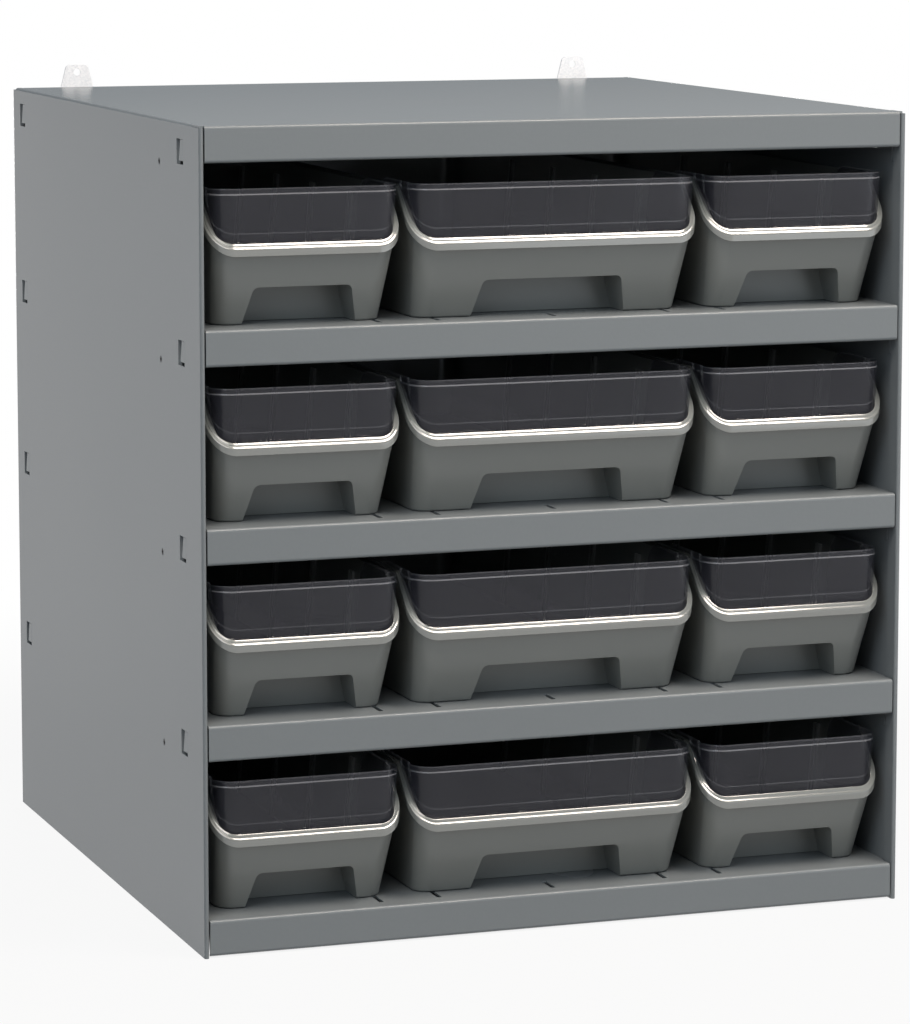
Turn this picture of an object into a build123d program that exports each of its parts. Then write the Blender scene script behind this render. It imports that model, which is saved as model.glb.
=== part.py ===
from build123d import *
import os

# Cabinet: overall sizes, with the origin on the floor under the middle
cabinet_width = 457.0
panel_depth = 463.0
bay_pitch = 119.0
top_bay_pitch = 121.0
shelf_count = 3
floor_gap = 1.0

# Sheet steel: thickness, outer radius of a bend, and how far a cut runs past a face
sheet = 1.2
bend_radius = 2.0
overrun = 5.0

# Side panels: hemmed front edge, rear flange, top edge just under the top panel's face
hem_thickness = 2.9
hem_depth = 12.0
panel_drop = 1.2
rear_flange = 18.0

# Decks: folded trays with a front lip, a return under the lip and side flanges
lip_height = 22.0
lip_recess = 0.8
lip_gap = 0.8
lip_return = 12.0
deck_flange = 32.0
floor_flange = 20.0
flange_setback = 3.0

# Deck slots: rows of narrow slots for upright dividers, at thirds and quarters of the width
slot_length = 17.0
slot_width = 3.0
slot_setback = 12.0
slot_rear_setback = 30.0
slot_shares = (-1 / 4, -1 / 6, 0, 1 / 6, 1 / 4)

# Deck ears: lugs pushed out of the side flanges into windows of the side panels
ear_window_length = 13.8
ear_window_height = 15.2
ear_drop = 9.8
ear_setback = 34.6
ear_rear_setback = 20.1
ear_top_gap = 8.0
ear_end_gap = 5.0
ear_foot_gap = 2.3
ear_clearance = 0.2
ear_neck = 2.6

# Shelf screws: flush countersunk tapping screws through panel and flange
screw_setback = 87.6
screw_drop = 26.0
screw_head = 4.4
screw_shank = 2.6
screw_length = 8.0

# Back panel and its rivets
back_sheet = 1.0
back_margin = 0.4
rivet_shank = 3.2
rivet_head = 6.4
rivet_head_height = 1.0
rivet_tail = 4.8
rivet_tail_height = 1.6
rivet_edge = 10.0
rivet_bay_share = 0.5

# Hanging tabs: galvanised straps that rise behind the top panel
tab_inset = 45.2
tab_width = 22.6
tab_tip_width = 15.0
tab_rise = 15.0
tab_drop = 20.0
tab_corner = 3.0
tab_hole = 5.0
tab_hole_rise = 10.0
tab_rivet_pitch = 10.0
tab_rivet_drop = 11.0

# Bins: a narrow, a wide and a narrow one stand side by side on each deck
narrow_width = 122.0
bin_gap = 4.9
bin_margin = 7.6
bin_setback = 4.0
bin_back_gap = 2.0
hand_gap = 16.0
bin_lift = 0.2
wall = 2.0
side_inset = 8.3
side_draft_share = 0.09
front_inset = 21.5
front_lean_share = 0.415
foot_radius = 11.0
brow_radius = 13.0

# Bin rim: two stepped beads that follow the 45 degree hopper cut
rim_radius = 16.0
rim_front = 47.0
bead_width = 1.3
bead_step = 0.9
skirt = 4.5

# Finger recess under the bin's front
narrow_recess = 71.8
wide_recess = 100.4
recess_height = 23.0
recess_depth = 22.0
recess_taper = 5.4
recess_corner = 4.0

# Divider guides: slotted ribs on the bin's inner sides
guide_setback = 93.0
guide_pitch = 78.0
guide_count = 4
guide_width = 7.0
guide_slot = 2.6
guide_proud = 1.8
guide_drop = 8.0

# Window: clear insert that stands on the rim and a little above the bin, with wings inside its sides
pane = 1.8
pane_rise = 2.0
pane_top_inset = 1.2
pane_lean_share = 0.07
pane_tip = 4.6
pane_clearance = 0.2
rebate_height = 3.2
rebate = 0.5
plug = 1.6
plug_rise = 5.2
plug_drop = 8.4
wing_reach = 74.0
wing_corner = 12.0

# Heights of the deck surfaces, from the bottom shelf to the top panel
floor_deck = floor_gap + lip_height
shelf_decks = [floor_deck + bay_pitch * level for level in range(shelf_count + 1)]
top_deck = shelf_decks[-1] + top_bay_pitch
fixed_decks = shelf_decks[1:] + [top_deck]

# Shared places: left outer face, front plane, rear plane and the back panel's front face
left_x = -cabinet_width / 2
front_y = -(panel_depth + rivet_head_height) / 2
rear_y = front_y + panel_depth
back_y = rear_y - sheet - back_sheet
flange_x = cabinet_width / 2 - sheet
lip_half = cabinet_width / 2 - hem_thickness - lip_gap
flange_y = front_y + hem_depth + flange_setback
tab_x = cabinet_width / 2 - tab_inset
tab_grip = rear_y - back_y + sheet

# Bin sizes that follow from the cabinet that they fill
bin_height = bay_pitch - lip_height - hand_gap
pane_top = bin_height + pane_rise
bin_length = back_y - front_y - bin_setback - bin_back_gap
wide_width = cabinet_width - 2 * (bin_margin + narrow_width + bin_gap)


def block(low, high):
    """A box between two corners."""
    size = [b - a for a, b in zip(low, high)]
    return Pos(*low) * Box(*size, align=Align.MIN)


def bent_sheet(*points):
    """The section of a folded sheet: its outer line with rounded bends, thickened to the right."""
    return make_face(offset(FilletPolyline(*points, radius=bend_radius), amount=sheet, side=Side.RIGHT))


def both_sides(shape):
    """A shape and its mirror image across the middle of the cabinet."""
    return [shape, mirror(shape, about=Plane.YZ)]


def ear_places(deck):
    """Front lower corners of the ear windows in the left panel, for one deck."""
    z = deck - ear_drop - ear_window_height
    return [(front_y + ear_setback, z), (rear_y - ear_rear_setback - ear_window_length, z)]


def screw_place(deck):
    """Outer end of a shelf screw's axis in the left panel, for one deck."""
    return Pos(left_x, front_y + screw_setback, deck - screw_drop) * Rot(Y=90)


def shelf_screw():
    """Countersunk screw along +Z, its flat head at the origin."""
    head_depth = (screw_head - screw_shank) / 2
    cone = Pos(0, 0, head_depth / 2) * Cone(screw_head / 2, screw_shank / 2, head_depth)
    shank = Cylinder(screw_shank / 2, screw_length, align=(Align.CENTER, Align.CENTER, Align.MIN))
    return cone + shank


def rivet(grip):
    """Blind rivet along +Z: a low cone head below the origin, a shank and a set tail."""
    profile = make_face(Polyline(
        (0, -rivet_head_height),
        (rivet_shank / 2, -rivet_head_height),
        (rivet_head / 2, 0),
        (rivet_shank / 2, 0),
        (rivet_shank / 2, grip),
        (rivet_tail / 2, grip),
        (rivet_shank / 2, grip + rivet_tail_height),
        (0, grip + rivet_tail_height),
        close=True))
    return revolve(Plane.XZ * profile, axis=Axis.Z)


def rivet_hole(grip):
    """Cut for a rivet's shank."""
    return Pos(0, 0, grip / 2) * Cylinder(rivet_shank / 2, grip + overrun)


def side_panel():
    """Left side panel: a hem in front, a flange behind, ear windows and screw holes."""
    nose = hem_thickness / 2
    web = bent_sheet((0, nose), (0, panel_depth), (rear_flange, panel_depth))
    hem = Pos(nose, nose) * Circle(nose)
    hem += Pos(0, nose) * Rectangle(hem_thickness, hem_depth - nose, align=Align.MIN)
    panel = Pos(left_x, front_y) * extrude(web + hem, amount=top_deck - panel_drop)
    for deck in fixed_decks:
        for y, z in ear_places(deck):
            low = (left_x - overrun, y, z)
            panel -= block(low, (left_x + overrun, y + ear_window_length, z + ear_window_height))
        panel -= screw_place(deck) * shelf_screw()
    for place in back_rivet_places():
        panel -= place * rivet_hole(sheet)
    return panel


def back_rivet_places():
    """Rivets through the left panel's rear flange, looking forward into the cabinet."""
    heights = [deck + rivet_bay_share * bay_pitch for deck in shelf_decks]
    return [Pos(left_x + rivet_edge, rear_y, z) * Rot(X=90) for z in heights]


def tab_rivet_places():
    """Rivets through both tabs, the back panel and the top panel's rear flange."""
    spots = [side * tab_x + hand * tab_rivet_pitch / 2 for side in (-1, 1) for hand in (-1, 1)]
    return [Pos(x, rear_y, top_deck - tab_rivet_drop) * Rot(X=90) for x in spots]


def tray(deck, flange):
    """A folded deck: return, lip, deck and rear flange in one profile, and a flange on each side."""
    lip_y = front_y + lip_recess
    section = bent_sheet(
        (lip_y + lip_return, -lip_height),
        (lip_y, -lip_height),
        (lip_y, 0),
        (back_y, 0),
        (back_y, -lip_height))
    body = extrude(Plane.YZ * section, amount=lip_half, both=True)
    side = bent_sheet((lip_half - bend_radius, 0), (flange_x, 0), (flange_x, -flange))
    right = Pos(0, back_y) * extrude(Plane.XZ * side, amount=back_y - flange_y)
    corner = Polyline(
        (lip_half, lip_y + bend_radius),
        (lip_half, lip_y + lip_return + overrun),
        (lip_half - lip_return - overrun, lip_y + lip_return + overrun),
        close=True)
    mitre = Pos(0, 0, -lip_height) * extrude(make_face(corner), amount=bend_radius)
    for cut in both_sides(mitre):
        body -= cut
    for side_flange in both_sides(right):
        body += side_flange
    return Pos(0, 0, deck) * body


def eared(body, deck):
    """Pushes the ears out of a tray's side flanges and drills it for the shelf screws."""
    inner_x = left_x + sheet
    for y, z in ear_places(deck):
        window_end = y + ear_window_length
        window_top = z + ear_window_height
        gap = block(
            (inner_x - overrun, y + ear_neck, z),
            (inner_x + sheet + overrun, window_end, window_top))
        outline = Polyline(
            (y + ear_clearance, z + ear_foot_gap),
            (window_end - ear_end_gap, z + ear_foot_gap),
            (window_end - ear_top_gap, window_top - ear_clearance),
            (y + ear_clearance, window_top - ear_clearance),
            close=True)
        ear = Pos(left_x) * extrude(Plane.YZ * make_face(outline), amount=sheet)
        for cut, lug in zip(both_sides(gap), both_sides(ear)):
            body = body - cut + lug
    for cut in both_sides(screw_place(deck) * shelf_screw()):
        body -= cut
    return body


def slotted(body, deck):
    """Cuts the front and rear rows of divider slots through a deck."""
    for y in (front_y + slot_setback, back_y - slot_rear_setback - slot_length):
        for share in slot_shares:
            x = share * 2 * lip_half
            low = (x - slot_width / 2, y, deck - overrun)
            body -= block(low, (x + slot_width / 2, y + slot_length, deck + overrun))
    return body


def top_panel():
    """The top: a tray without slots, riveted to the tabs, with front corners that cover the hems."""
    body = eared(tray(top_deck, deck_flange), top_deck)
    corner = block(
        (lip_half - bend_radius, front_y + lip_recess + bend_radius, top_deck - sheet),
        (flange_x, flange_y + bend_radius, top_deck))
    for cover in both_sides(corner):
        body += cover
    for place in tab_rivet_places():
        body -= place * rivet_hole(tab_grip)
    return body


def back_panel():
    """Flat sheet in front of the side panels' rear flanges."""
    half = flange_x - bend_radius + sheet - back_margin
    body = block((-half, back_y, floor_gap), (half, back_y + back_sheet, top_deck - bend_radius))
    for place in back_rivet_places():
        for cut in both_sides(place * rivet_hole(sheet + back_sheet)):
            body -= cut
    for place in tab_rivet_places():
        body -= place * rivet_hole(sheet + back_sheet)
    return body


def hanging_tab(side):
    """Strap on the back panel's rear face, tapered and rounded above the top panel."""
    outline = Polyline(
        (-tab_width / 2, -tab_drop),
        (tab_width / 2, -tab_drop),
        (tab_width / 2, 0),
        (tab_tip_width / 2, tab_rise),
        (-tab_tip_width / 2, tab_rise),
        (-tab_width / 2, 0),
        close=True)
    face = make_face(outline)
    tips = face.vertices().group_by(Axis.Y)[-1]
    face = fillet(tips, radius=tab_corner) - Pos(0, tab_hole_rise) * Circle(tab_hole / 2)
    strap = Pos(side * tab_x, rear_y, top_deck) * extrude(Plane.XZ * face, amount=sheet)
    for place in tab_rivet_places():
        strap -= place * rivet_hole(sheet)
    return strap


def bin_loft(width, inset):
    """A bin's leaning walls from its foot to the window's top, moved inwards by an inset."""
    sections = []
    for z in (0, pane_top):
        side = side_inset - side_draft_share * z + inset
        front = front_inset - front_lean_share * z + inset
        rear = bin_length - side
        radius = foot_radius + (brow_radius - foot_radius) * z / pane_top - inset
        outline = RectangleRounded(width - 2 * side, rear - front, radius)
        sections.append(Pos(0, (front + rear) / 2, z) * outline)
    return loft(sections, ruled=True)


def rim_prism(width, inset):
    """The upright outline of a bin's rim, moved inwards by an inset."""
    outline = RectangleRounded(width - 2 * inset, bin_length - 2 * inset, rim_radius - inset)
    return extrude(Pos(0, bin_length / 2) * outline, amount=bin_height)


def under_hopper(width, rise):
    """Everything under the hopper cut, raised by a rise: sloped in front, level behind."""
    level = bin_height - bead_step + rise
    low = rim_front + rise
    outline = Polyline(
        (-overrun, -overrun),
        (-overrun, low - overrun),
        (level - low, level),
        (bin_length + overrun, level),
        (bin_length + overrun, -overrun),
        close=True)
    return extrude(Plane.YZ * make_face(outline), amount=width, both=True)


def recess_block(recess, grow):
    """The finger recess, or its walls when grown: a trapezoid with rounded upper corners."""
    half = recess / 2 + grow
    top = recess_height + grow
    face = make_face(Polyline(
        (-half, -overrun), (half, -overrun), (half, 0), (half - recess_taper, top),
        (recess_taper - half, top), (-half, 0), close=True))
    face = fillet(face.vertices().group_by(Axis.Y)[-1], radius=recess_corner)
    depth = front_inset + recess_depth + grow
    return Pos(0, depth) * extrude(Plane.XZ * face, amount=depth + overrun)


def divider_guides(width):
    """Slotted ribs on the bin's inner side walls."""
    lining = bin_loft(width, wall) - bin_loft(width, wall + guide_proud)
    bars = Part()
    for station in range(guide_count):
        y = guide_setback + station * guide_pitch
        low = (-width, y - guide_width / 2, wall)
        bar = block(low, (width, y + guide_width / 2, bin_height - guide_drop))
        bars += bar - block((-width, y - guide_slot / 2, 0), (width, y + guide_slot / 2, bin_height))
    return lining & bars


def bin_tub(width, recess):
    """Moulded tub: leaning walls, hopper front, stepped rim, finger recess and divider guides."""
    under_outer = under_hopper(width, 0)
    under_inner = under_hopper(width, bead_step)
    shell = bin_loft(width, 0)
    rim = rim_prism(width, 0) & (under_outer - under_hopper(width, -skirt))
    crown = rim_prism(width, bead_width) & (under_inner - under_hopper(width, -skirt))
    body = (shell & under_outer) + rim + crown
    cavity = bin_loft(width, wall) & block((-width, -overrun, wall), (width, bin_length, bin_height))
    body -= cavity
    body += recess_block(recess, wall) & shell
    body -= recess_block(recess, 0)
    return body + divider_guides(width)


def bin_window(width):
    """Clear insert: a pane on the rim, thinned along its top, and a plug with wings inside the tub."""
    pane_reach = pane_top - rim_front - pane_tip
    plug_foot = rim_front - plug_drop
    seat = under_hopper(width, bead_step + pane_clearance)
    band = under_hopper(width, bead_step + plug_rise)
    reach = block((-width, -overrun, 0), (width, pane_reach, pane_top))

    def pane_loft(inset):
        sections = []
        for z in (0, pane_top):
            edge = pane_top_inset + pane_lean_share * (pane_top - z) + inset
            outline = RectangleRounded(width - 2 * edge, bin_length - 2 * edge, rim_radius - edge)
            sections.append(Pos(0, bin_length / 2, z) * outline)
        return loft(sections, ruled=True)

    plug_inset = wall + pane_clearance
    plug_outer = bin_loft(width, plug_inset)
    plug_inner = bin_loft(width, plug_inset + plug)
    field = (pane_loft(0) - pane_loft(pane)) & (reach - seat)
    brow = block((-width, -overrun, pane_top - rebate_height), (width, pane_reach, pane_top))
    field -= brow - pane_loft(rebate)
    ledge = (pane_loft(0) - plug_inner) & ((band - seat) & reach)
    wing_face = make_face(Polyline(
        (-overrun, plug_foot),
        (wing_reach, plug_foot),
        (wing_reach, pane_top),
        (-overrun, pane_top),
        close=True))
    wing_face = fillet(wing_face.vertices().sort_by(Axis.X)[-2:].sort_by(Axis.Y)[-1], radius=wing_corner)
    wing_zone = extrude(Plane.YZ * wing_face, amount=width, both=True)
    tall = block((-width, front_inset, 0), (width, bin_length, pane_top))
    plug_shell = (plug_outer - plug_inner) & wing_zone & (band + tall)
    return plug_shell + ledge + field


def save(node, shape):
    """Writes one node's solids."""
    export_step(shape, f"parts/{node}.step")


os.makedirs("parts", exist_ok=True)

left_panel = side_panel()
save("left_side_panel", left_panel)
save("right_side_panel", mirror(left_panel, about=Plane.YZ))
save("top_panel", top_panel())
save("bottom_shelf", slotted(tray(floor_deck, floor_flange), floor_deck))
for level in range(1, shelf_count + 1):
    deck = shelf_decks[level]
    save(f"shelf_{shelf_count + 1 - level}", slotted(eared(tray(deck, deck_flange), deck), deck))
save("back_panel", back_panel())
save("left_hanging_tab", hanging_tab(-1))
save("right_hanging_tab", hanging_tab(1))

screws = [screw_place(deck) * shelf_screw() for deck in fixed_decks]
save("shelf_screws", Compound([each for screw in screws for each in both_sides(screw)]))
back_rivets = [place * rivet(sheet + back_sheet) for place in back_rivet_places()]
save("back_rivets", Compound([each for pin in back_rivets for each in both_sides(pin)]))
save("tab_rivets", Compound([place * rivet(tab_grip) for place in tab_rivet_places()]))

bin_y = front_y + bin_setback
side_x = (wide_width + narrow_width) / 2 + bin_gap
narrow_bin = (bin_tub(narrow_width, narrow_recess), bin_window(narrow_width))
wide_bin = (bin_tub(wide_width, wide_recess), bin_window(wide_width))
row_of_bins = ((-side_x, narrow_bin), (0, wide_bin), (side_x, narrow_bin))
for row, deck in enumerate(reversed(shelf_decks), start=1):
    for column, (x, pieces) in enumerate(row_of_bins, start=1):
        place = Pos(x, bin_y, deck + bin_lift)
        for piece, shape in zip(("tub", "window"), pieces):
            save(f"bin_r{row}c{column}_{piece}", place * shape)
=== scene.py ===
import math
import bmesh
import bpy
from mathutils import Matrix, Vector


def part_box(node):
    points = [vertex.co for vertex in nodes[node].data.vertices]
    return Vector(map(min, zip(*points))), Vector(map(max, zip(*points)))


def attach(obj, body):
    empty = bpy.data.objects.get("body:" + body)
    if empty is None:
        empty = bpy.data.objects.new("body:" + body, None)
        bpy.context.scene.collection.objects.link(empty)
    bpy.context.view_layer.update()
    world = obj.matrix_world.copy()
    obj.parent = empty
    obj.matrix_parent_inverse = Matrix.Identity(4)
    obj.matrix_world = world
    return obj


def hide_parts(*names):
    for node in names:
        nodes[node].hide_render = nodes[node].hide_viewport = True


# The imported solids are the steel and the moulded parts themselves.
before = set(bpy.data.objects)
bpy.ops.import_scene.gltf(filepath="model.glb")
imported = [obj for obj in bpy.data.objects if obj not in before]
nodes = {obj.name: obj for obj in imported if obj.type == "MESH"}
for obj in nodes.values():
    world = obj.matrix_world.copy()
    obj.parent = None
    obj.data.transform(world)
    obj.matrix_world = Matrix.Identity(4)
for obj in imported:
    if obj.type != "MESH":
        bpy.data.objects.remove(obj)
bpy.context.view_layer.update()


# The carcass is folded from 1.2 mm sheet steel: two side panels with hemmed fronts, a top,
# three shelves, a bottom shelf and a riveted back. All of it is coated with one grey baked
# enamel, smooth and fairly glossy, with the faint orange peel of a sprayed powder.
class Signal:
    """A socket of a node tree. Arithmetic on it adds Math nodes, and node() adds any other node."""

    def __init__(self, tree, socket):
        self.tree = tree
        self.socket = socket

    def node(self, kind, settings, inputs, output=0):
        made = self.tree.nodes.new(kind)
        for name, value in settings.items():
            setattr(made, name, value)
        for key, value in inputs.items():
            for part in value if isinstance(value, list) else [value]:
                if isinstance(part, Signal):
                    self.tree.links.new(part.socket, made.inputs[key])
                else:
                    made.inputs[key].default_value = part
        return Signal(self.tree, made.outputs[output])

    def maths(self, operation, first, second):
        return self.node("ShaderNodeMath", {"operation": operation}, {0: first, 1: second})

    def __add__(self, other):
        return self.maths("ADD", self, other)

    def __radd__(self, other):
        return self.maths("ADD", other, self)

    def __sub__(self, other):
        return self.maths("SUBTRACT", self, other)

    def __rsub__(self, other):
        return self.maths("SUBTRACT", other, self)

    def __mul__(self, other):
        return self.maths("MULTIPLY", self, other)

    def __rmul__(self, other):
        return self.maths("MULTIPLY", other, self)

    def __truediv__(self, other):
        return self.maths("DIVIDE", self, other)

    def __rtruediv__(self, other):
        return self.maths("DIVIDE", other, self)

    def __neg__(self):
        return self.maths("MULTIPLY", self, -1.0)

    def noise(self, scale, detail=2.0):
        return self.node("ShaderNodeTexNoise", {}, {"Vector": self, "Scale": scale, "Detail": detail})

    def blend(self, dark, light):
        """A colour between two, by this value."""
        ends = {6: (*dark, 1), 7: (*light, 1)}
        return self.node("ShaderNodeMix", {"data_type": "RGBA"}, {0: self, **ends}, output=2)

    def bump(self, strength, distance):
        relief = {"Height": self, "Strength": strength, "Distance": distance}
        return self.node("ShaderNodeBump", {}, relief)

    def ease(self, low, high):
        """This value as a smooth step from 0 at low to 1 at high."""
        limits = {"Value": self, "From Min": low, "From Max": high}
        return self.node("ShaderNodeMapRange", {"interpolation_type": "SMOOTHSTEP"}, limits)

    def vector(self, **axes):
        """A vector of values or numbers, each given by its axis."""
        return self.node("ShaderNodeCombineXYZ", {}, axes)

    def moved(self, **axes):
        """This shape, moved along the axes that are given."""
        return self.node("GeometryNodeTransform", {}, {"Geometry": self, "Translation": self.vector(**axes)})


def finish(name):
    """A bare material, its Principled shader and the place on the piece that its patterns read."""
    material = bpy.data.materials.new(name)
    material.use_nodes = True
    tree = material.node_tree
    shader = tree.nodes["Principled BSDF"]
    place = Signal(tree, tree.nodes.new("ShaderNodeTexCoord").outputs["Object"])
    return material, shader, place


def feed(shader, **sockets):
    """Links signals to a shader's sockets, or sets constants on them."""
    for name, value in sockets.items():
        target = shader.inputs[name.replace("_", " ")]
        if isinstance(value, Signal):
            value.tree.links.new(value.socket, target)
        else:
            target.default_value = value


def coat(material, *names):
    """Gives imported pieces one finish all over."""
    for name in names:
        nodes[name].data.materials.clear()
        nodes[name].data.materials.append(material)


enamel, shader, place = finish("grey_baked_enamel")
cloud = place.noise(2.6, 3.0)
peel = place.noise(420.0, 1.0)
drift = cloud * 0.75 + peel * 0.25
feed(shader,
     Base_Color=drift.blend((0.165, 0.18, 0.187), (0.191, 0.208, 0.216)),
     Roughness=0.22 + cloud * 0.08,
     Normal=peel.bump(0.06, 0.0004),
     Specular_IOR_Level=0.27)
carcass = ("left_side_panel", "right_side_panel", "top_panel", "shelf_1", "shelf_2", "shelf_3",
           "bottom_shelf", "back_panel")
coat(enamel, *carcass)

# Two straps of galvanised sheet stand behind the top's rear edge and hang the unit on a wall.
# The zinc froze in a fine spangle of crystals, each a little lighter or darker than the next.
zinc, shader, place = finish("spangled_zinc")
crystal = place.node("ShaderNodeTexVoronoi", {}, {"Vector": place, "Scale": 900.0}, output="Color")
tone = crystal.node("ShaderNodeSeparateColor", {}, {0: crystal})
feed(shader,
     Base_Color=tone.blend((0.84, 0.85, 0.87), (0.96, 0.96, 0.97)),
     Roughness=0.38 + tone * 0.2,
     Metallic=0.25)
coat(zinc, "left_hanging_tab", "right_hanging_tab")

# Countersunk screws of blackened steel hold each shelf flange to the side panels. Their heads
# lie flush in the sheet, with a pressed cross for the driver.
MM = 0.001


def set_out(name, spots, turns, sizes, shape, material):
    """One shape, made from its sizes and set out at its places by a node tree, as a plain mesh."""
    tree = bpy.data.node_groups.new(name, "GeometryNodeTree")
    tree.interface.new_socket("Places", in_out="INPUT", socket_type="NodeSocketGeometry")
    inputs = {}
    for size in sizes:
        inputs[size] = tree.interface.new_socket(size, in_out="INPUT", socket_type="NodeSocketFloat")
    tree.interface.new_socket("Fasteners", in_out="OUTPUT", socket_type="NodeSocketGeometry")
    entry = tree.nodes.new("NodeGroupInput")
    places = Signal(tree, entry.outputs["Places"])
    made = shape(places, *[Signal(tree, entry.outputs[size]) for size in sizes])
    turn = places.node("GeometryNodeInputNamedAttribute", {"data_type": "FLOAT_VECTOR"}, {"Name": "turn"})
    row = places.node("GeometryNodeInstanceOnPoints", {},
                      {"Points": places, "Instance": made, "Rotation": turn})
    row = row.node("GeometryNodeRealizeInstances", {}, {"Geometry": row})
    row = row.node("GeometryNodeSetMaterial", {}, {"Geometry": row, "Material": material})
    tree.links.new(row.socket, tree.nodes.new("NodeGroupOutput").inputs["Fasteners"])

    dots = bpy.data.meshes.new(name)
    dots.from_pydata([Vector(spot) * MM for spot in spots], [], [])
    stored = dots.attributes.new("turn", "FLOAT_VECTOR", "POINT")
    for point, turned in zip(stored.data, turns):
        point.vector = turned
    piece = bpy.data.objects.new(name, dots)
    bpy.context.scene.collection.objects.link(piece)
    maker = piece.modifiers.new("set_out", "NODES")
    maker.node_group = tree
    for size, value in sizes.items():
        maker[inputs[size].identifier] = value * MM
    bake(piece)
    return piece


def bake(piece):
    """Turns a piece's modifiers into a plain mesh."""
    bpy.context.view_layer.update()
    evaluated = piece.evaluated_get(bpy.context.evaluated_depsgraph_get())
    plain = bpy.data.meshes.new_from_object(evaluated)
    piece.modifiers.clear()
    piece.data = plain


def cross_screw(places, head, shank, sink, length, cross, arm):
    """A countersunk head with a pressed cross, its face at the origin, and a shank below it."""
    cone_sizes = {"Vertices": 28, "Radius Top": head, "Radius Bottom": shank, "Depth": sink}
    cone = places.node("GeometryNodeMeshCone", {}, cone_sizes, "Mesh").moved(Z=-sink)
    ways = places.vector(X=cross, Y=arm, Z=sink), places.vector(X=arm, Y=cross, Z=sink)
    bars = [places.node("GeometryNodeMeshCube", {}, {"Size": way}, "Mesh") for way in ways]
    pressing = {"Mesh 1": cone, "Mesh 2": bars}
    pressed = places.node("GeometryNodeMeshBoolean", {"operation": "DIFFERENCE"}, pressing)
    pin_sizes = {"Vertices": 20, "Radius": shank, "Depth": length - sink}
    pin = places.node("GeometryNodeMeshCylinder", {}, pin_sizes, "Mesh").moved(Z=(length + sink) * -0.5)
    return places.node("GeometryNodeJoinGeometry", {}, {"Geometry": [pressed, pin]})


blackened, shader, place = finish("blackened_steel")
scuff = place.noise(900.0)
feed(shader,
     Base_Color=scuff.blend((0.012, 0.012, 0.014), (0.035, 0.035, 0.038)),
     Roughness=0.4 + scuff * 0.25,
     Metallic=0.5)
screw_drop = 26.0
low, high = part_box("shelf_screws")
screw_out = high[0] / MM
screw_along = (low[1] + high[1]) / 2 / MM
screw_spots, screw_turns = [], []
for deck in ("shelf_3", "shelf_2", "shelf_1", "top_panel"):
    screw_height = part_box(deck)[1][2] / MM - screw_drop
    screw_spots += [(side * screw_out, screw_along, screw_height) for side in (-1, 1)]
    screw_turns += [(0, side * math.pi / 2, 0) for side in (-1, 1)]
screw_sizes = {"Head": 2.2, "Shank": 1.3, "Sink": 0.9, "Length": 8.0, "Cross": 2.3, "Arm": 0.55}
screws = set_out("cross_screws", screw_spots, screw_turns, screw_sizes, cross_screw, blackened)
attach(screws, "cabinet")
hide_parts("shelf_screws")


# Blind rivets of bare aluminium hold the back panel and the straps. Each has a domed head
# with the stub of its broken pin in the middle, and a set tail inside the cabinet.
def blind_rivet(places, head, rise, shank, pin, grip, tail, tail_rise):
    """A domed head on the origin, a shank of the grip's length below it and a swollen tail."""
    ball_sizes = {"Segments": 24, "Rings": 14, "Radius": head}
    ball = places.node("GeometryNodeMeshUVSphere", {}, ball_sizes, "Mesh")
    flat = places.vector(X=1.0, Y=1.0, Z=rise / head)
    ball = places.node("GeometryNodeTransform", {}, {"Geometry": ball, "Scale": flat})
    block = places.vector(X=head * 3, Y=head * 3, Z=head)
    under = places.node("GeometryNodeMeshCube", {}, {"Size": block}, "Mesh").moved(Z=head * -0.5)
    pit_sizes = {"Vertices": 16, "Radius": pin, "Depth": rise}
    pit = places.node("GeometryNodeMeshCylinder", {}, pit_sizes, "Mesh").moved(Z=rise)
    cutting = {"Mesh 1": ball, "Mesh 2": [under, pit]}
    dome = places.node("GeometryNodeMeshBoolean", {"operation": "DIFFERENCE"}, cutting)
    stem_sizes = {"Vertices": 20, "Radius": shank, "Depth": grip}
    stem = places.node("GeometryNodeMeshCylinder", {}, stem_sizes, "Mesh").moved(Z=grip * -0.5)
    bulb_sizes = {"Vertices": 20, "Radius Top": tail, "Radius Bottom": shank, "Depth": tail_rise}
    bulb = places.node("GeometryNodeMeshCone", {}, bulb_sizes, "Mesh").moved(Z=-(grip + tail_rise))
    return places.node("GeometryNodeJoinGeometry", {}, {"Geometry": [dome, stem, bulb]})


bright, shader, place = finish("bare_aluminium")
scuff = place.noise(700.0)
feed(shader,
     Base_Color=scuff.blend((0.5, 0.51, 0.53), (0.68, 0.69, 0.71)),
     Roughness=0.3 + scuff * 0.2,
     Metallic=0.9)
rivet_edge, half_bay, rivet_spread, tab_rivet_rise = 10.0, 59.5, 5.0, 9.0
low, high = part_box("right_side_panel")
rear, rivet_out = high[1] / MM, high[0] / MM - rivet_edge
back_spots, tab_spots = [], []
for deck in ("bottom_shelf", "shelf_3", "shelf_2", "shelf_1"):
    rivet_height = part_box(deck)[1][2] / MM + half_bay
    back_spots += [(side * rivet_out, rear, rivet_height) for side in (-1, 1)]
for tab in ("left_hanging_tab", "right_hanging_tab"):
    low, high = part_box(tab)
    tab_middle, rivet_height = (low[0] + high[0]) / 2 / MM, low[2] / MM + tab_rivet_rise
    tab_spots += [(tab_middle + hand * rivet_spread, rear, rivet_height) for hand in (-1, 1)]
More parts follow.
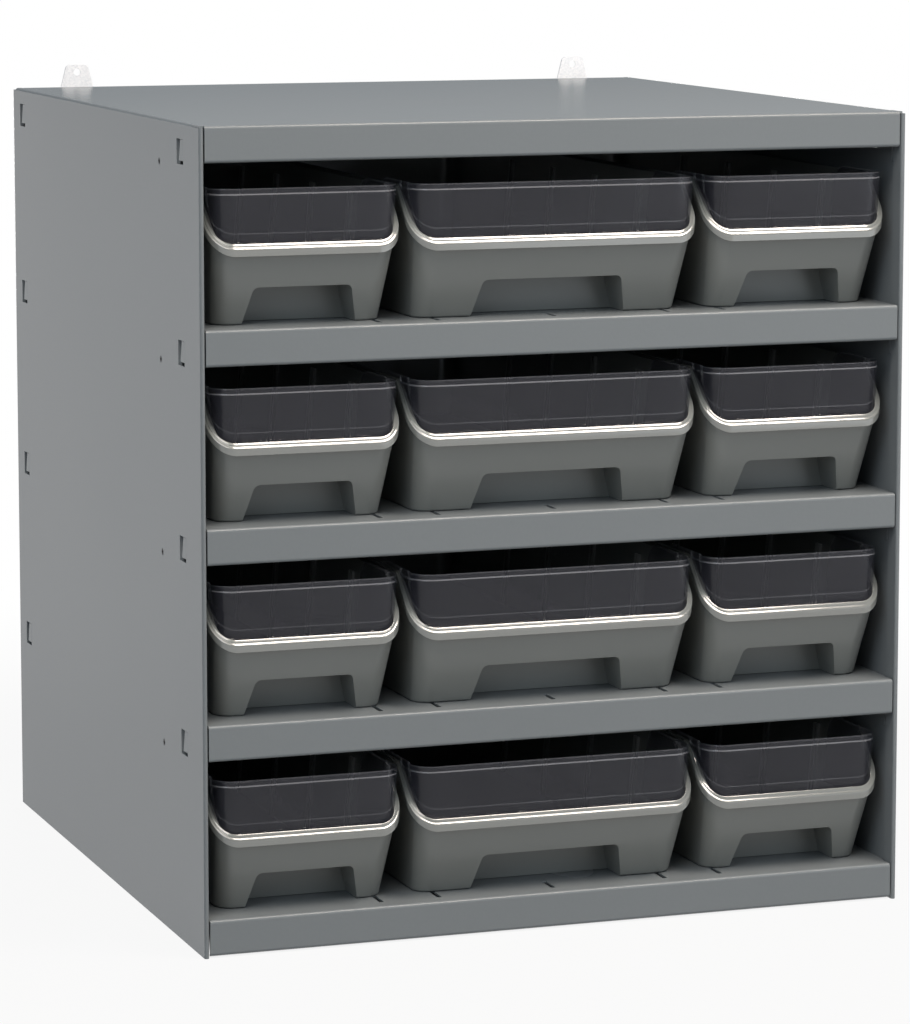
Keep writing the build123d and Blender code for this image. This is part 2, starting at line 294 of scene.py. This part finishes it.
for name, spots, grip, node in (("back_blind_rivets", back_spots, 2.2, "back_rivets"),
                                ("tab_blind_rivets", tab_spots, 3.4, "tab_rivets")):
    rivet_sizes = {"Head": 3.2, "Rise": 1.0, "Shank": 1.6, "Pin": 0.9,
                   "Grip": grip, "Tail": 2.4, "Tail Rise": 1.6}
    turns = [(-math.pi / 2, 0, 0)] * len(spots)
    rivets = set_out(name, spots, turns, rivet_sizes, blind_rivet, bright)
    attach(rivets, "cabinet")
    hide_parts(node)

# Each bin is a tub of warm grey plastic, moulded in one shot with leaning walls, a rim of two
# rounded beads that dips at the front, a finger recess under the front and slotted ribs that
# hold dividers. Its skin is fine spark-eroded mould grain, and the rim is polished.
tub_length, tub_height, tub_wall = 454.8, 81.0, 2.0
side_inset, side_draft, front_inset, front_lean = 8.3, 0.09, 21.5, 0.415
foot_radius, brow_radius, brow_height, rim_radius = 11.0, 13.0, 83.0, 16.0
rim_front, bead_width, bead_step, skirt = 47.0, 1.3, 0.9, 4.5
rim_level, rim_ease = tub_height - bead_step, 3.0
corner_steps, settling_steps = 12, 14
run_shares = (0.012, 0.024, 0.032, 0.04, 0.048, 0.056, 0.08, 0.35, 0.65, 0.92)


def quarter(side, share, start):
    """Stations round one corner, each a side, a share of the way back and an angle."""
    return [(side, share, start + math.pi / 2 * step / corner_steps) for step in range(corner_steps + 1)]


stations = quarter(1, 0, -math.pi / 2)
stations += [(1, share, 0) for share in run_shares]
stations += quarter(1, 1, 0) + quarter(-1, 1, math.pi / 2)
stations += [(-1, share, math.pi) for share in reversed(run_shares)]
stations += quarter(-1, 0, math.pi)


def spot(station, half, front, rear, radius):
    """Where a station lies on an outline with rounded corners."""
    side, share, angle = station
    x = side * (half - radius) + radius * math.cos(angle)
    y = front + radius + share * (rear - front - 2 * radius) + radius * math.sin(angle)
    return x, y


def hopper(y):
    """Height of the outer bead: a 45 degree slope that eases into the level rim behind it."""
    over = rim_front + y - rim_level
    if abs(over) < rim_ease:
        return rim_level - (rim_ease - over) ** 2 / (4 * rim_ease)
    return rim_level + min(over, 0)


def wall_spot(station, width, inset, z):
    """A point on the tub's leaning and drafted wall."""
    side = side_inset - side_draft * z + inset
    front = front_inset - front_lean * z + inset
    radius = foot_radius + (brow_radius - foot_radius) * z / brow_height - inset
    return (*spot(station, width / 2 - side, front, tub_length - side, radius), z)


def level_ring(width, inset, z):
    return [wall_spot(station, width, inset, z) for station in stations]


def sloped_ring(width, inset, rise):
    """A line on the leaning wall that runs parallel to the rim, above or below it."""
    ring = []
    for station in stations:
        z = rim_front
        for step in range(settling_steps):
            z = hopper(wall_spot(station, width, inset, z)[1]) + rise
        ring.append(wall_spot(station, width, inset, z))
    return ring


def rim_ring(width, inset, rise):
    """A line round the upright rim, parallel to the slope of its top."""
    ring = []
    for station in stations:
        x, y = spot(station, width / 2 - inset, inset, tub_length - inset, rim_radius - inset)
        ring.append((x, y, hopper(y) + rise))
    return ring


def arc(centre_in, centre_up, radius, start, end, steps=4):
    """Points of a rounded edge in the rim's section, as insets and rises."""
    angles = [math.radians(start + (end - start) * step / steps) for step in range(steps + 1)]
    return [(centre_in - radius * math.cos(a), centre_up + radius * math.sin(a)) for a in angles]


def ringed_mesh(name, rings):
    """A closed shell from loops of points, each joined to the next, with both ends filled.
    A point's fourth number, where it has one, is kept as an attribute: on a tub it marks the polished rim,
    and on a window it is the strength of a highlight painted along the edges."""
    shell = bmesh.new()
    shine = shell.verts.layers.float.new("shine")
    loops = []
    for ring in rings:
        loops.append([])
        for point in ring:
            vertex = shell.verts.new(Vector(point[:3]) * MM)
            vertex[shine] = sum(point[3:])
            loops[-1].append(vertex)
    for lower, upper in zip(loops, loops[1:]):
        for here in range(len(lower)):
            after = (here + 1) % len(lower)
            shell.faces.new((lower[here], lower[after], upper[after], upper[here]))
    shell.faces.new(list(reversed(loops[0])))
    shell.faces.new(loops[-1])
    mesh = bpy.data.meshes.new(name)
    shell.to_mesh(mesh)
    shell.free()
    return mesh


def add_piece(name, mesh):
    piece = bpy.data.objects.new(name, mesh)
    bpy.context.scene.collection.objects.link(piece)
    return piece


recess_height, recess_depth, recess_taper, recess_corner, arch_steps = 23.0, 22.0, 5.4, 4.0, 6


def recess_mesh(name, recess, grow, low, face):
    """The finger recess as a solid: an arched section drawn from the front to the recess's end."""
    half, top = recess / 2 + grow, recess_height + grow
    lean = math.atan2(top, recess_taper)
    ease = recess_corner / math.tan((math.pi - lean) / 2)
    arch = [(half, low), (half, 0)] if low < 0 else [(half - recess_taper * low / top, low)]
    across, up = half - recess_taper - ease, top - recess_corner
    sweep = [math.pi / 2 - lean + lean * step / arch_steps for step in range(arch_steps + 1)]
    arch += [(across + recess_corner * math.cos(a), up + recess_corner * math.sin(a)) for a in sweep]
    arch += [(-x, z) for x, z in reversed(arch)]
    end = front_inset + recess_depth + grow
    slant = front_lean if grow > 0 else 0.0
    rings = [[(x, end, z) for x, z in arch], [(x, face - slant * z, z) for x, z in arch]]
    return ringed_mesh(name, rings)


foot_round = ((1.2, 0.0), (0.35, 0.35), (0.0, 1.2))
skirt_round, bead_round, bead_fall = 0.4, 0.6, 0.09
groove, groove_rise = 0.15, 0.1
crown_round, crown_foot, crown_steps = 0.5, 0.14, 5
lining_round, lining_ease = 0.5, 0.15
house_inset, hollow_overrun = 1.0, 5.0
soft_angle, soft_width = 52.0, 0.35


def tub_mesh(width, recess):
    """A tub from its foot over both beads of the polished rim and down to its floor, and its recess."""
    rings = [level_ring(width, inset, z) for inset, z in foot_round]
    rings.append(sloped_ring(width, 0.0, -skirt))
    section = arc(skirt_round, skirt_round - skirt, skirt_round, -90, 0)
    section += arc(bead_round, -bead_round - bead_fall, bead_round, 0, 90)
    section += [(bead_width - groove, 0.0), (bead_width, groove_rise)]
    section += arc(bead_width + crown_round, crown_foot, crown_round, 0, 90, crown_steps)
    rim = [rim_ring(width, inset, rise) for inset, rise in section]
    lining = [(tub_wall - lining_round, bead_step), (tub_wall - lining_ease, bead_step - lining_ease),
              (tub_wall, bead_step - lining_round)]
    rim += [sloped_ring(width, inset, rise) for inset, rise in lining]
    rings += [[(*point, 1.0) for point in ring] for ring in rim]
    rings += [level_ring(width, tub_wall + inset, tub_wall + z) for inset, z in reversed(foot_round)]
    body = add_piece("tub_blank", ringed_mesh("tub_blank", rings))
    walls = recess_mesh("recess_house", recess, tub_wall, house_inset, front_inset + house_inset)
    house = add_piece("recess_house", walls)
    inside = recess_mesh("recess_hollow", recess, 0.0, -hollow_overrun, -hollow_overrun)
    hollow = add_piece("recess_hollow", inside)
    for other, way in ((house, "UNION"), (hollow, "DIFFERENCE")):
        cut = body.modifiers.new(way, "BOOLEAN")
        cut.object = other
        cut.operation = way
        cut.solver = "EXACT"
    soften = body.modifiers.new("soften", "BEVEL")
    soften.limit_method = "ANGLE"
    soften.angle_limit = math.radians(soft_angle)
    soften.width = soft_width * MM
    soften.segments = 2
    bake(body)
    for spent in (body, house, hollow):
        bpy.context.scene.collection.objects.unlink(spent)
    return body.data


plastic, shader, place = finish("moulded_grey_plastic")
flow = place.noise(9.0, 3.0)
grain = place.noise(1600.0, 1.0)
polish = place.node("ShaderNodeAttribute", {"attribute_name": "shine"}, {}, output="Fac")
feed(shader,
     Base_Color=(flow * 0.8 + grain * 0.2).blend((0.178, 0.185, 0.174), (0.203, 0.21, 0.198)),
     Roughness=0.26 + grain * 0.08 - polish * 0.16,
     Coat_Weight=polish,
     Coat_Roughness=0.06,
     Normal=grain.bump(0.04, 0.0002),
     IOR=1.5)
guide_setback, guide_pitch, guide_count = 93.0, 78.0, 4
guide_proud, guide_bar, guide_slot, guide_drop, guide_soft = 1.8, 2.2, 2.6, 8.0, 0.3


def guide_bar_shape(places, proud, thick, tall):
    """A rib that stands on the origin, half of it in the wall."""
    size = places.vector(X=proud * 2, Y=thick, Z=tall)
    return places.node("GeometryNodeMeshCube", {}, {"Size": size}, "Mesh").moved(Z=tall * 0.5)


def guides_mesh(width):
    """Slotted ribs along both inner sides of a tub."""
    out = width / 2 - side_inset - tub_wall + side_draft * tub_wall
    spots, turns = [], []
    for side in (-1, 1):
        for station in range(guide_count):
            for hand in (-1, 1):
                y = guide_setback + station * guide_pitch + hand * (guide_slot + guide_bar) / 2
                spots.append((side * out, y, tub_wall))
                turns.append((0, side * math.atan(side_draft), 0))
    sizes = {"Proud": guide_proud, "Thick": guide_bar, "Tall": tub_height - guide_drop - tub_wall}
    ribs = set_out("divider_ribs", spots, turns, sizes, guide_bar_shape, plastic)
    soften = ribs.modifiers.new("soften", "BEVEL")
    soften.width = guide_soft * MM
    soften.segments = 2
    bake(ribs)
    bpy.context.scene.collection.objects.unlink(ribs)
    return ribs.data


def bin_width(name):
    low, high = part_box(f"{name}_tub")
    return round((high[0] - low[0]) / MM)


def fit_moulding(name, kind, mould, material, sharp_angle):
    """A copy of a moulding in its bin's place, smooth apart from its sharp edges."""
    low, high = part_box(f"{name}_tub")
    mesh = mould.copy()
    mesh.name = f"{name}_{kind}"
    for vertex in mesh.vertices:
        vertex.co += Vector(((low[0] + high[0]) / 2, low[1], low[2]))
    mesh.materials.clear()
    mesh.materials.append(material)
    mesh.shade_smooth()
    mesh.set_sharp_from_angle(angle=math.radians(sharp_angle))
    piece = add_piece(f"{name}_{kind}", mesh)
    even = piece.modifiers.new("even_normals", "WEIGHTED_NORMAL")
    even.keep_sharp = True
    bake(piece)
    return piece


moulds = {}
for width, recess in ((122.0, 71.8), (188.0, 100.4)):
    joined = bmesh.new()
    for mesh in (tub_mesh(width, recess), guides_mesh(width)):
        joined.from_mesh(mesh)
    for face in joined.faces:
        face.material_index = 0
    moulds[width] = bpy.data.meshes.new("tub_mould")
    joined.to_mesh(moulds[width])
    joined.free()

tub_sharp_angle = 48.0
bins = [f"bin_r{row}c{column}" for row in range(1, 5) for column in range(1, 4)]
for name in bins:
    tub = fit_moulding(name, "moulding", moulds[bin_width(name)], plastic, tub_sharp_angle)
    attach(tub, name)
    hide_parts(f"{name}_tub")

# A clear insert closes the front of each bin. It is moulded from lightly smoked polystyrene: a pane
# that stands on the rim and is thinned along its top, and below it a plug inside the tub that
# runs back along both sides as wings. Along its moulded edges highlights are painted into its
# colour, as lines that are lighter and less clear than the pane.
pane_top, pane_wall, pane_top_inset, pane_lean = 83.0, 1.8, 1.2, 0.07
pane_reach, seat_rise, foot_band, band_share = 31.4, 1.1, 4.4, 0.35
field_step, least_field, brow_band, brow_step, brow_slope = 0.12, 1.4, 3.2, 0.3, 0.6
edge_round, edge_ease, inner_round = 0.45, 0.13, 0.3
shoulder_rise, shoulder_fall, foot_rise, foot_fall = 1.5, 5.9, 3.5, 4.5
plug_inset, plug_wall, plug_foot = 2.2, 1.6, 38.6
plug_inner = plug_inset + plug_wall
wing_start, wing_reach, wing_corner, wing_corner_steps = 21.5, 74.0, 12.0, 6
wing_band, wing_rows, wing_row = 6.5, 11, 0.46
# Strengths of the highlights painted into the insert's colour along its moulded edges.
brow_painted_highlight, band_painted_highlight, top_painted_highlight, wing_painted_highlight, end_painted_highlight, fold_painted_highlight = 1.0, 0.4, 0.3, 0.8, 0.4, 0.2


def pane_spot(station, width, inset, z):
    """A point on the pane's leaning outline.
    A station at a corner has an angle, and one on a side has a distance back."""
    side, angle, y = station
    edge = pane_top_inset + pane_lean * (pane_top - z) + inset
    if y is None:
        x, y = spot((side, 0, angle), width / 2 - edge, edge, tub_length - edge, rim_radius - edge)
    else:
        x = side * (width / 2 - edge)
    return x, y, z


def plug_spot(station, width, inset, z):
    """A point on the plug, which follows the tub's wall."""
    side, angle, y = station
    if y is None:
        return wall_spot((side, 0, angle), width, inset, z)
    return side * (width / 2 - side_inset + side_draft * z - inset), y, z


def slope_height(place, station, width, inset, rise):
    """Height at which a leaning line through a station meets the hopper's slope, raised by a rise."""
    z = rim_front
    for step in range(settling_steps):
        z = rim_front + place(station, width, inset, z)[1] + rise
    return z


def pane_section(station, width, shine):
    """The pane on the rim and the plug below it, as a closed line from the pane's outer foot.
    Each point carries the strength of the highlight painted along its moulded edge, and the last argument
    adds more of it at an end."""
    side, angle, y = station
    facing = abs(math.sin(angle)) if y is None else 0.0
    seat = slope_height(pane_spot, station, width, 0.0, seat_rise)
    brow = max(pane_top - brow_band - brow_slope, seat + least_field)
    band = seat + min(foot_band, (brow - seat) * band_share)
    thin = field_step + brow_step
    # Each point's third number, here and on the inner face below, is the strength of the highlight painted
    # into the colour along that edge.
    outer = [(0.25, seat, 0), (0.0, seat + 0.2, 0), (0.0, band - 0.25, 0), (0.0, band, band_painted_highlight),
             (field_step, band + 0.4, band_painted_highlight), (field_step, band + 0.6, 0),
             (field_step, brow - 0.3, 0), (field_step, brow, brow_painted_highlight),
             (thin, brow + brow_slope, brow_painted_highlight), (thin, brow + brow_slope + 0.3, 0),
             (thin, pane_top - 2 * edge_round, 0), (thin, pane_top - edge_round, top_painted_highlight),
             (thin + edge_ease, pane_top - edge_ease, top_painted_highlight), (thin + edge_round, pane_top, top_painted_highlight)]
    line = [(*pane_spot(station, width, inset, z), bright + shine) for inset, z, bright in outer]
    if y is not None and y > wing_start:
        place, wall, foot = plug_spot, plug_inner, pane_top - 1.5
    else:
        place, wall = pane_spot, pane_wall
        foot = slope_height(pane_spot, station, width, pane_wall, foot_rise - foot_fall * facing)
    back = [(wall - inner_round, pane_top, top_painted_highlight), (wall, pane_top - inner_round, top_painted_highlight),
            (wall, pane_top - 0.8, 0), (wall, foot, 0)]
    line += [(*place(station, width, inset, z), bright + shine) for inset, z, bright in back]
    shoulder = slope_height(plug_spot, station, width, plug_inner, shoulder_rise - shoulder_fall * facing)
    line.append(plug_spot(station, width, plug_inner, shoulder))
    line += plug_sole(station, width)
    seat_inside = slope_height(plug_spot, station, width, plug_inset, seat_rise)
    line.append(plug_spot(station, width, plug_inset, seat_inside))
    return line


def plug_sole(station, width):
    """The plug's lower edge, from its inner to its outer face."""
    corners = ((plug_inner, plug_foot + inner_round), (plug_inner - inner_round, plug_foot),
               (plug_inset + inner_round, plug_foot), (plug_inset, plug_foot + inner_round))
    return [plug_spot(station, width, inset, z) for inset, z in corners]


def wing_section(station, width):
    """The wing alone, behind the pane, with as many points as the pane's section."""
    over = max(station[2] - (wing_reach - wing_corner), 0.0)
    top = pane_top - wing_corner + math.sqrt(wing_corner ** 2 - over ** 2)
    root = top - wing_band
    line = [(plug_inset, root + 0.5 + wing_row * step, 0) for step in range(wing_rows)]
    # The wing's rounded top edge has a highlight painted into its colour.
    line += [(plug_inset, top - edge_round, wing_painted_highlight),
             (plug_inset + edge_ease, top - edge_ease, wing_painted_highlight),
             (plug_inset + edge_round, top, wing_painted_highlight),
             (plug_inner - edge_round, top, wing_painted_highlight),
             (plug_inner, top - edge_round, wing_painted_highlight),
             (plug_inner, top - 1.0, 0), (plug_inner, top - 2.0, 0), (plug_inner, root, 0)]
    points = [(*plug_spot(station, width, inset, z), bright) for inset, z, bright in line]
    return points + plug_sole(station, width) + [plug_spot(station, width, plug_inset, root)]


def window_mesh(width):
    """The insert as sections from the end of one wing, round the pane, to the end of the other."""
    turns = [math.pi / 2 * step / wing_corner_steps for step in range(wing_corner_steps, -1, -1)]
    wing_ways = [wing_reach - wing_corner * (1 - math.sin(turn)) for turn in turns]
    wing_ways += [46.0, pane_reach + 0.2]
    # The end of the pane's side and the fold where the wing starts have highlights painted into the colour.
    side_ways = [(pane_reach, end_painted_highlight), (pane_reach - 0.4, 0), (25.0, 0), (wing_start + 0.6, 0),
                 (wing_start + 0.2, fold_painted_highlight), (wing_start, fold_painted_highlight), (wing_start - 0.4, 0), (18.0, 0)]
    halves = []
    for side, corner in ((1, reversed(quarter(1, 0, -math.pi / 2))), (-1, quarter(-1, 0, math.pi))):
        half = [wing_section((side, 0, y), width) for y in wing_ways]
        half += [pane_section((side, 0, y), width, shine) for y, shine in side_ways]
        half += [pane_section((side, angle, None), width, 0) for hand, share, angle in corner]
        halves.append(half)
    return ringed_mesh("window", halves[0] + halves[1][::-1])


clear, shader, place = finish("smoked_polystyrene")
haze = place.noise(30.0)
# The haze is random tone. edge reads the strength of the highlights painted along the moulded edges, where
# the colour is lighter and the pane less clear.
edge = place.node("ShaderNodeAttribute", {"attribute_name": "shine"}, {}, output="Fac")
feed(shader,
     Base_Color=(haze * 0.06 + edge * 0.9).blend((0.044, 0.045, 0.058), (0.36, 0.36, 0.38)),
     Roughness=0.06 + haze * 0.06,
     Alpha=0.28 + haze * 0.03 + edge * 0.2,
     IOR=1.55)
pane_sharp_angle = 30.0
glazing = {width: window_mesh(width) for width in moulds}
for name in bins:
    pane = fit_moulding(name, "pane", glazing[bin_width(name)], clear, pane_sharp_angle)
    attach(pane, name)
    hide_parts(f"{name}_window")

# The studio is white paper on the floor, in a grey room that is darker overhead. Soft lamps stand
# on the left, on the right and behind. One hangs high in front, and one over the right half of
# the front, where it draws the bright line along the rims.
floor_reach = 40.0
floor_mesh = bpy.data.meshes.new("studio_floor")
corners = [(-floor_reach, -floor_reach, 0), (floor_reach, -floor_reach, 0),
           (floor_reach, floor_reach, 0), (-floor_reach, floor_reach, 0)]
floor_mesh.from_pydata(corners, [], [(0, 1, 2, 3)])
floor = add_piece("studio_floor", floor_mesh)
paper, shader, place = finish("white_paper")
feed(shader, Base_Color=(0.32, 0.32, 0.32, 1), Roughness=0.9)
rays = [place.node("ShaderNodeLightPath", {}, {}, output=f"Is {kind} Ray")
        for kind in ("Camera", "Glossy", "Transmission")]
seen = place.maths("MAXIMUM", rays[0], place.maths("MAXIMUM", rays[1], rays[2]))
half_width, half_depth, foot_shade = 0.2285, 0.2315, 0.02
away = place.node("ShaderNodeVectorMath", {"operation": "LENGTH"}, {0: place}, output="Value")
across = place.node("ShaderNodeSeparateXYZ", {}, {0: place}, output="X")
along = place.node("ShaderNodeSeparateXYZ", {}, {0: place}, output="Y")
outside = place.maths("MAXIMUM", place.maths("ABSOLUTE", across, 0.0) - half_width,
                      place.maths("ABSOLUTE", along, 0.0) - half_depth)
open_floor = outside.ease(-foot_shade, 0.0)
veil = (0.92 + away.ease(0.5, 1.1) * 0.08) * open_floor
glow = place.node("ShaderNodeEmission", {}, {})
lit = Signal(place.tree, shader.outputs[0])
surface = place.node("ShaderNodeMixShader", {}, {0: seen * veil, 1: lit, 2: glow})
feed(paper.node_tree.nodes["Material Output"], Surface=surface)
floor_mesh.materials.append(paper)

world = bpy.data.worlds.new("grey_room")
bpy.context.scene.world = world
world.use_nodes = True
tree = world.node_tree
sky = Signal(tree, tree.nodes.new("ShaderNodeTexCoord").outputs["Generated"])
height = sky.node("ShaderNodeSeparateXYZ", {}, {0: sky}, output="Z")
feed(tree.nodes["Background"],
     Color=(0.9, 1, 1.1, 1),
     Strength=0.34 - height.ease(0.1, 0.9) * 0.08)


def softbox(name, place, aim, width, height, watts, tint):
    """A rectangular soft lamp that faces a point."""
    lamp = bpy.data.lights.new(name, "AREA")
    lamp.shape = "RECTANGLE"
    lamp.size = width
    lamp.size_y = height
    lamp.energy = watts
    lamp.color = tint
    box = bpy.data.objects.new(name, lamp)
    box.location = place
    box.rotation_euler = (Vector(aim) - Vector(place)).to_track_quat("-Z", "Y").to_euler()
    bpy.context.scene.collection.objects.link(box)


softbox("left_softbox", (-2.0, -2.1, 1.35), (0, -0.2, 0.25), 1.4, 1.4, 12.5, (0.88, 1.0, 1.12))
softbox("right_softbox", (1.5, -1.9, 0.6), (0, -0.2, 0.25), 2.0, 1.4, 7.5, (0.9, 1.0, 1.1))
softbox("overhead_softbox", (0.68, -0.86, 2.1), (0.68, -0.86, 0), 0.8, 0.8, 40, (1.12, 1.0, 0.89))
softbox("front_softbox", (-0.6, -1.35, 2.1), (0, -0.2, 0.3), 1.2, 0.8, 23, (1.07, 1.0, 0.93))
softbox("rear_softbox", (0.7, 2.4, 0.3), (0.2, 0.2, 0.3), 1.5, 0.4, 32, (1.0, 1.0, 1.0))

# The camera is a long lens on a stand, to the left of the unit and a little above its top.
# It looks down on the open front, and a slight shift of the lens frames the unit.
lens_mm, sensor_mm = 149.66, 36.0
stand = (-0.9178, -2.6382, 0.6531)
turn_degrees, dip_degrees = 19.429, 7.29
rise_share = -0.1
camera_data = bpy.data.cameras.new("camera")
camera_data.sensor_width = sensor_mm
camera_data.lens = lens_mm
camera_data.shift_y = rise_share
camera_data.clip_end = 100.0
camera = bpy.data.objects.new("camera", camera_data)
camera.location = stand
camera.rotation_euler = (math.radians(90 - dip_degrees), 0, math.radians(-turn_degrees))
bpy.context.scene.collection.objects.link(camera)
bpy.context.scene.camera = camera
bpy.context.scene.view_settings.view_transform = "Standard"
